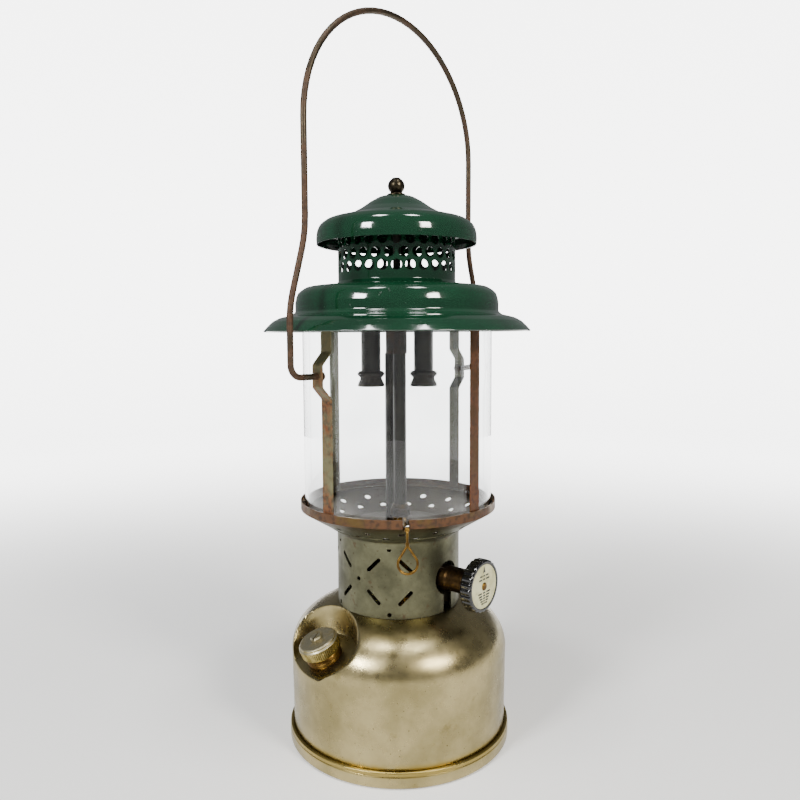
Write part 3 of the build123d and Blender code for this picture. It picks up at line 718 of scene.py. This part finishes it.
class LANTERN_OT_ventilator(bpy.types.Operator):
    """Make the enamelled hood with its rolled brim, the cap, and the ball nut."""

    bl_idname = "lantern.ventilator"
    bl_label = "Ventilator"

    def execute(self, context):
        sizes = context.scene.lantern_sizes
        brim, foot = reach_of("ventilator_hood"), foot_of("ventilator_hood")
        skin = [
            (brim - 0.25, foot + 1.0, 0.5), (84.6, 275.6, 5), (81.4, 278.7, 6), (77.1, 281.0, 8),
            (68.9, 283.0, 2.2),
            (66.6, 285.0, 1.6), (66.6, 290.8, 5), (65.2, 297.0, 6), (59.6, 300.7, 5), (39.9, 302.8, 1.2),
            (38.55, 304.6, 0.8), (38.5, 305.4),
        ]
        under = [
            (37.6, 305.4), (37.6, 304.0, 0.8), (39.4, 301.9, 1.0), (59.0, 299.8, 4), (64.3, 296.4, 5),
            (65.7, 290.6, 4), (65.7, 284.6, 1.2), (68.5, 282.1, 2), (76.7, 280.1, 8), (80.8, 277.9, 6),
            (83.9, 274.9, 5), (brim - 1.3, foot + 1.2, 0.4), (brim - 1.7, foot + 0.6, 0.3),
            (brim - 1.2, foot + 0.05, 0.4), (brim - 0.4, foot + 0.1, 0.4), (brim, foot + 0.6, 0.3),
        ]
        mesh = lathe(rounded(skin + under + skin[:1])[:-1], sizes.round_steps)
        finish_piece("enamelled_hood", mesh, "green_enamel", replaces=["ventilator_hood"])
        cap = rounded([
            (52.2, 328.5, 0.3), (52.5, 332.0, 8), (52.0, 336.6, 8), (50.2, 340.8, 6), (45.8, 343.9, 7),
            (33.0, 347.2, 6), (30.6, 347.8, 0.8), (23.6, 351.6, 20), (17.6, 355.8, 14), (11.6, 359.2, 8),
            (6.0, 360.3, 2), (2.7, 360.3), (2.7, 359.4), (5.8, 359.4, 2), (11.2, 358.3, 7), (17.0, 355.0, 14),
            (23.0, 350.8, 20), (30.2, 346.9, 0.8), (33.0, 346.3, 6), (45.5, 343.0, 6), (49.4, 340.3, 5),
            (51.1, 336.4, 7), (51.6, 332.0, 7), (51.3, 328.5, 0.3), (52.2, 328.5),
        ])[:-1]
        mesh = lathe(cap, sizes.round_steps)
        finish_piece("enamelled_cap", mesh, "green_enamel", replaces=["ventilator_cap"])
        middle, wide, tall = 366.5, 5.5, 5.4
        ball = [
            Vector((wide * sin(radians(t)), middle - tall * cos(radians(t)))) for t in range(48, 145, 6)
        ]
        ball += [Vector((2.4, 371.7)), Vector((1.2, 371.9)), Vector((0, 371.9))]
        nut = rounded([
            (2.55, 360.4), (6.0, 360.4, 0.3), (6.0, 361.3, 0.3), (4.3, 361.9, 0.4), (3.7, 362.4, 0.5),
        ]) + ball
        nut += [Vector((0, 367.4)), Vector((2.55, 367.4))]
        finish_piece("ball_nut", lathe(nut, 64), "dark_bronze", "finial", ["finial_nut"])
        return {"FINISHED"}


def bail_route():
    """Centre line of the bail in its own upright plane, as (reach, height) in millimetres."""
    pin, reach, arch = 66.9, 91.0, 78.35
    pivot, spring = joint_place("bail_swing")[0].z / MM, 394.2
    side = rounded([
        (pin, pivot), (reach, pivot, 7.5), (reach, 286.0, 60), (arch, 329.0, 70), (arch, spring),
    ], 12)
    top = [Vector((arch * cos(radians(t)), spring + arch * sin(radians(t)))) for t in range(5, 176, 5)]
    return side + top + [Vector((-p.x, p.y)) for p in reversed(side)]


class LANTERN_OT_bail(bpy.types.Operator):
    """Bend the bail's wire, with an upset head inside each upright."""

    bl_idname = "lantern.bail"
    bl_label = "Bail"

    def execute(self, context):
        sizes = context.scene.lantern_sizes
        origin, axis = joint_place("bail_swing")
        route = [(axis * p.x + Vector((0, 0, p.y))) * MM for p in bail_route()]
        wire = swept(route, circle(1.9 * MM, sizes.wire_sides))
        heads, head_reach = [], 66.4
        for side in (1, -1):
            out = axis * side
            face = facing(origin + out * head_reach * MM, out, Vector((0, 0, 1)).cross(out))
            head = rounded([(0, 0), (2.4, 0.05, 0.5), (2.95, 0.8, 0.4), (2.8, 1.5, 0.3), (0, 1.5)])
            heads.append(lathe(head, 32, face))
        finish_piece("bail_wire", joined(wire, *heads), "rusty_wire", "carry_bail", ["bail"])
        return {"FINISHED"}


def strip_section(width, thick):
    """Flat strip section with rounded edges, in metres."""
    w, t = width / 2 * MM, thick / 2 * MM
    bevel = t * 0.55
    half = [(-w, -t + bevel), (-w + bevel, -t), (w - bevel, -t), (w, -t + bevel)]
    return half + [(-x, -y) for x, y in half]


class LANTERN_OT_cage(bpy.types.Operator):
    """Make the four strip uprights, and the flare where the collar meets the dish."""

    bl_idname = "lantern.cage"
    bl_label = "Cage"

    def execute(self, context):
        sizes = context.scene.lantern_sizes
        foot, top = foot_of("plain_upright_front"), top_of("plain_upright_front")
        pivot = joint_place("bail_swing")[0].z / MM
        near, far = 63.48, 70.48
        section = strip_section(9.0, 1.0)
        straight = [(near, foot), (near, top)]
        kinked = [
            (near, foot), (near, pivot - 14, 3), (far, pivot - 6.8, 2.4), (far, pivot + 6.8, 2.4),
            (near, pivot + 14, 3), (near, top),
        ]
        strips = [
            ("strip_bail_front", "bail_upright_front", -42, kinked, "aged_steel"),
            ("strip_bail_back", "bail_upright_back", 138, kinked, "grey_strip"),
            ("strip_plain_front", "plain_upright_front", 48, straight, "rusty_steel"),
            ("strip_plain_back", "plain_upright_back", 228, straight, "grey_strip"),
        ]
        for name, node, azimuth, route, finish in strips:
            line = rounded(route, 8)
            path = []
            for a, b in zip(line, line[1:]):
                path += [a.lerp(b, k / 2) for k in range(2)]
            path.append(line[-1])
            points = [(outward(azimuth) * p.x + Vector((0, 0, p.y))) * MM for p in path]
            mesh = strip_mesh(points, section, outward(azimuth + 90))
            piece = finish_piece(name, mesh, finish, replaces=[node])
        flare = rounded([
            (40.9, 136.6), (41.06, 136.6, 0.1), (41.1, 140.6, 3.5), (46.6, 144.1), (46.4, 144.6),
            (40.9, 141.2), (40.9, 136.6),
        ], 8)[:-1]
        finish_piece("collar_flare", lathe(flare, sizes.round_steps), "collar_nickel")
        return {"FINISHED"}


def strip_mesh(points, section, across):
    """Flat strip along a path; its width keeps to one direction."""
    count, sides = len(points), len(section)
    vertices, faces = [], []
    for k, point in enumerate(points):
        ahead = (points[min(k + 1, count - 1)] - points[max(k - 1, 0)]).normalized()
        through = ahead.cross(across).normalized()
        vertices += [point + across * s + through * u for s, u in section]
    for k in range(count - 1):
        for j in range(sides):
            m = (j + 1) % sides
            faces.append((k * sides + j, k * sides + m, (k + 1) * sides + m, (k + 1) * sides + j))
    faces.append(tuple(range(sides)))
    faces.append(tuple(range((count - 1) * sides, count * sides)))
    mesh = bpy.data.meshes.new("strip")
    mesh.from_pydata(vertices, [], faces)
    return outward_faces(mesh)


class LANTERN_OT_globe(bpy.types.Operator):
    """Make the clear glass globe with fire-polished rims."""

    bl_idname = "lantern.globe"
    bl_label = "Globe"

    def execute(self, context):
        sizes = context.scene.lantern_sizes
        foot, top, wide = foot_of("globe") + 0.05, top_of("globe"), reach_of("globe")
        wall = rounded([
            (wide - 1, foot), (wide, foot, 0.9), (wide, top, 0.9), (wide - 2, top, 0.9),
            (wide - 2, foot, 0.9), (wide - 1, foot),
        ])[:-1]
        finish_piece("glass_globe", lathe(wall, sizes.round_steps), "clear_glass", replaces=["globe"])
        return {"FINISHED"}


class LANTERN_OT_burner(bpy.types.Operator):
    """Make the hanging burner tubes, their caps and the generator's nut."""

    bl_idname = "lantern.burner"
    bl_label = "Burner"

    def execute(self, context):
        for side in ("left", "right"):
            low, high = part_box(f"burner_cap_{side}")
            centre = Matrix.Translation(((low.x + high.x) / 2, (low.y + high.y) / 2, low.z))
            cap = rounded([
                (7.4, 0), (9.0, 0, 0.4), (8.8, 1.6, 0.9), (7.2, 5.0, 0.5), (7.2, 5.9, 0.5),
                (9.0, 7.8, 0.4), (9.0, 8.8, 0.5), (7.6, 10.2, 0.6), (6.5, 10.2), (6.5, 4.0),
                (5.6, 4.0), (5.6, 2.3), (7.4, 2.3), (7.4, 0),
            ])[:-1]
            finish_piece(
                f"mantle_cap_{side}", lathe(cap, 64, centre), "cast_burner",
                replaces=[f"burner_cap_{side}"],
            )
            tube = rounded([(5.6, 4.1), (6.45, 4.1), (6.45, 40), (5.6, 40), (5.6, 4.1)])[:-1]
            finish_piece(
                f"hanging_tube_{side}", lathe(tube, 48, centre), "blackened_iron",
                replaces=[f"burner_tube_{side}"],
            )
        low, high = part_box("generator_nut")
        middle = Vector(((low.x + high.x) / 2, (low.y + high.y) / 2, low.z))
        place = Matrix.Translation(middle)
        corner, chamfer = 6.6, 0.93
        hexagon = [(corner * cos(radians(60 * k)), corner * sin(radians(60 * k))) for k in range(6)]
        body = rounded([hexagon[-1]] + [(x, y, 0.5) for x, y in hexagon] + [hexagon[0]])[1:-1]
        nose = rounded([
            (4.15, 5.0), (5.7, 5.0, 0.3), (5.5, 6.2, 0.4), (4.9, 8.1, 0.6), (4.15, 8.2), (4.15, 5.0),
        ])[:-1]
        nut = joined(
            prism(body, 0.3, 4.7, place),
            prism([(x * chamfer, y * chamfer) for x, y in body], 0, 5.0, place),
            lathe(nose, 48, place),
        )
        finish_piece("jam_nut", nut, "browned_brass", replaces=["generator_nut"])
        return {"FINISHED"}


class LANTERN_OT_valve(bpy.types.Operator):
    """Make the valve's sleeve, its fluted knob, and the disc with its screw and plain marks."""

    bl_idname = "lantern.valve"
    bl_label = "Valve"

    def execute(self, context):
        face = joint_face("valve_turn")
        grip = rounded([
            (3.05, 57.8), (7.9, 57.8, 0.5), (8.4, 60.3, 1.2), (12.5, 60.7, 1.5), (15.0, 60.9, 0.6),
            (16.6, 62.0, 0.6), (16.7, 63.0), (16.7, 67.4), (16.5, 68.5, 0.5), (15.5, 69.2, 0.5),
            (14.0, 69.15, 0.2), (13.95, 68.3), (3.05, 68.3), (3.05, 57.8),
        ])[:-1]
        mesh = lathe(grip, 384, face, (24, 0.6, 61.2, 68.9))
        finish_piece("fluted_knob", mesh, "black_bakelite", "valve", ["valve_knob"], 50)
        sleeve = rounded([
            (3.05, 20), (8.3, 20, 0.4), (8.3, 43.6, 0.8), (7.9, 45.0, 0.6), (7.8, 56.2, 0.8),
            (6.9, 57.2, 0.3), (3.05, 57.2), (3.05, 20),
        ])[:-1]
        finish_piece("valve_sleeve", lathe(sleeve, 64, face), "browned_brass", replaces=["packing_nut"])
        ground = rounded([(1.6, 68.35), (13.9, 68.35), (13.9, 68.9, 0.2), (1.6, 68.9), (1.6, 68.35)])[:-1]
        finish_piece("disc_ground", lathe(ground, 96, face), "cream_paint", "valve", ["direction_disc"])
        low, high, bar, gap = 68.88, 68.96, 1.0, 0.09
        marks = [prism([(0, 12.9), (-1.5, 8.6), (-0.5, 9.0), (0.5, 9.0), (1.5, 8.6)], low, high, face)]
        rows = [(6.4, 9.6), (4.2, 11.6), (-4.4, 13.4), (-6.2, 12.0), (-7.9, 10.4), (-9.5, 8.6), (-11.1, 6.6)]
        for y, width in rows:
            x = -width / 2
            for share in (0.30, 0.20, 0.32):
                end = x + width * share
                marks.append(prism([(x, y), (end, y), (end, y + bar), (x, y + bar)], low, high, face))
                x = end + width * gap
        finish_piece("disc_marks", joined(*marks), "ink", "valve")
        head = rounded([(0, 68.4), (2.6, 68.4), (2.6, 69.1, 0.4), (1.9, 69.7, 0.5), (0, 69.8)])
        finish_piece("disc_screw", lathe(head, 40, face), "aged_brass", "valve", ["knob_screw"])
        return {"FINISHED"}


class LANTERN_OT_lever(bpy.types.Operator):
    """Bend the cleaning lever: a straight shank, a small collar and a hanging loop."""

    bl_idname = "lantern.lever"
    bl_label = "Cleaning lever"

    def execute(self, context):
        face = joint_face("lever_turn")
        reach, drop, middle, round_loop, wire = 55.2, 9.5, 19.7, 5.8, circle(0.8 * MM, 14)

        def at(x, y, z):
            return face @ (Vector((x, y, z)) * MM)

        bend = rounded([(3.0, 0), (reach, 0, 2.4), (reach, -drop - 0.6)], 10)
        shank = swept([at(0, p.y, p.x) for p in bend], wire)
        cut = acos(round_loop / (middle - drop))
        steps = 40
        loop = [at(0.25, -drop, reach)]
        for k in range(steps + 1):
            angle = pi / 2 - cut - (2 * pi - 2 * cut) * k / steps
            loop.append(at(round_loop * cos(angle), -middle + round_loop * sin(angle), reach))
        loop.append(at(-0.25, -drop, reach))
        ring = swept(loop, wire)
        bead = face @ Matrix.Translation((0, 0, (reach - 0.9) * MM))
        size = 1.75
        arc = [Vector((size * sin(radians(t)), -size * cos(radians(t)))) for t in range(10, 171, 10)]
        ball = lathe(arc + [Vector((0, size)), Vector((0, -size))], 28, bead)
        wrap = face @ Matrix.Translation((0, -drop * MM, reach * MM)) @ Matrix.Rotation(pi / 2, 4, "X")
        clip = lathe(rounded([(0, -2.2), (1.15, -2.2, 0.3), (1.25, 1.0, 0.3), (0, 1.0)]), 24, wrap)
        finish_piece(
            "lever_wire", joined(shank, ring, ball, clip), "aged_brass", "tip_cleaner", ["cleaning_lever"]
        )
        return {"FINISHED"}


# ---------------------------------------------------------------- stage
def lay_paper(name, line, turns=96):
    """Turned sheet of paper, from a line in metres; a line of one point makes a flat disc."""
    vertices = [
        (p.x * cos(2 * pi * k / turns), p.x * sin(2 * pi * k / turns), p.y)
        for p in line for k in range(turns)
    ]
    faces = []
    for low in range(0, (len(line) - 1) * turns, turns):
        high = low + turns
        for k in range(turns):
            n = (k + 1) % turns
            faces.append((low + k, low + n, high + n, high + k))
    if len(line) == 1:
        faces.append(tuple(range(turns)))
    mesh = bpy.data.meshes.new(name)
    mesh.from_pydata(vertices, [], faces)
    for polygon in mesh.polygons:
        polygon.use_smooth = True
    mesh.materials.append(FINISHES["paper"])
    paper = bpy.data.objects.new(name, mesh)
    bpy.context.scene.collection.objects.link(paper)
    return paper


def hang_light(name, azimuth, rise, shape, power, colour):
    """Soft rectangular light that looks at the middle of the lantern from 1.3 m away."""
    middle, far = Vector((0, 0, 0.26)), 1.3
    lamp = bpy.data.lights.new(name, "AREA")
    lamp.shape, lamp.size, lamp.size_y = "RECTANGLE", *shape
    lamp.energy, lamp.color = power, linear(colour)[:3]
    holder = bpy.data.objects.new(name, lamp)
    spot = middle + (outward(azimuth) * cos(radians(rise)) + Vector((0, 0, sin(radians(rise))))) * far
    holder.location = spot
    holder.rotation_euler = (middle - spot).to_track_quat("-Z", "Y").to_euler()
    bpy.context.scene.collection.objects.link(holder)


def dim_room():
    """Pale room all round, which fills the shadows."""
    world = bpy.data.worlds.new("studio_room")
    world.use_nodes = True
    background = world.node_tree.nodes["Background"]
    background.inputs["Color"].default_value = linear("#f2f4f6")
    background.inputs["Strength"].default_value = 0.22
    bpy.context.scene.world = world


def place_camera():
    """Camera half a metre in front, level with the globe, looking slightly down."""
    lens = bpy.data.cameras.new("camera")
    lens.lens, lens.sensor_width = 32.74, 36.0
    lens.clip_start, lens.clip_end = 0.01, 20.0
    camera = bpy.data.objects.new("camera", lens)
    tilt, roll = 0.088, radians(-0.306)
    stand = Matrix.Translation((0.0017, -0.48467, 0.26937))
    camera.matrix_world = stand @ Matrix.Rotation(pi / 2 - tilt, 4, "X") @ Matrix.Rotation(roll, 4, "Z")
    bpy.context.scene.collection.objects.link(camera)
    bpy.context.scene.camera = camera


class LANTERN_OT_stage(bpy.types.Operator):
    """Make the paper floor, the soft studio lights and the camera."""

    bl_idname = "lantern.stage"
    bl_label = "Stage"

    def execute(self, context):
        reach = context.scene.lantern_sizes.floor_size / 2
        bend = rounded([(reach * 0.75, 0), (reach, 0, 0.4), (reach, 2.4)], 12)
        lay_paper("paper_floor", bend[:1])
        backdrop = lay_paper("paper_backdrop", bend)
        backdrop.visible_glossy = backdrop.visible_diffuse = False
        hang_light("left_softbox", -42, 27, (0.28, 0.24), 17.0, "#ffffff")
        hang_light("right_softbox", 42, 27, (0.28, 0.24), 15.0, "#fffaf2")
        hang_light("left_top_softbox", -48, 71, (0.22, 0.22), 6.0, "#ffffff")
        hang_light("right_top_softbox", 48, 71, (0.22, 0.22), 6.0, "#ffffff")
        dim_room()
        place_camera()
        return {"FINISHED"}


OPERATORS = (
    LANTERN_OT_finishes, LANTERN_OT_tank, LANTERN_OT_filler, LANTERN_OT_ventilator, LANTERN_OT_bail,
    LANTERN_OT_cage, LANTERN_OT_globe, LANTERN_OT_burner, LANTERN_OT_valve, LANTERN_OT_lever,
    LANTERN_OT_stage,
)


class LANTERN_PT_pieces(bpy.types.Panel):
    """Sidebar panel that lists the settings and the pieces."""

    bl_idname = "LANTERN_PT_pieces"
    bl_label = "Pressure Lantern"
    bl_space_type = "VIEW_3D"
    bl_region_type = "UI"
    bl_category = "Lantern"

    def draw(self, context):
        column = self.layout.column()
        for group in (context.scene.lantern_sizes, context.scene.lantern_colours):
            for name in group.__annotations__:
                column.prop(group, name)
        for operator in OPERATORS:
            column.operator(operator.bl_idname)


CLASSES = (LanternSizes, LanternColours, *OPERATORS, LANTERN_PT_pieces)


def register():
    for item in CLASSES:
        bpy.utils.register_class(item)
    bpy.types.Scene.lantern_sizes = PointerProperty(type=LanternSizes)
    bpy.types.Scene.lantern_colours = PointerProperty(type=LanternColours)


def unregister():
    del bpy.types.Scene.lantern_colours
    del bpy.types.Scene.lantern_sizes
    for item in reversed(CLASSES):
        bpy.utils.unregister_class(item)


def main():
    """Registers the add-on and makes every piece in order."""
    register()
    for operator in OPERATORS:
        group, action = operator.bl_idname.split(".")
        getattr(getattr(bpy.ops, group), action)()


if __name__ == "__main__":
    main()
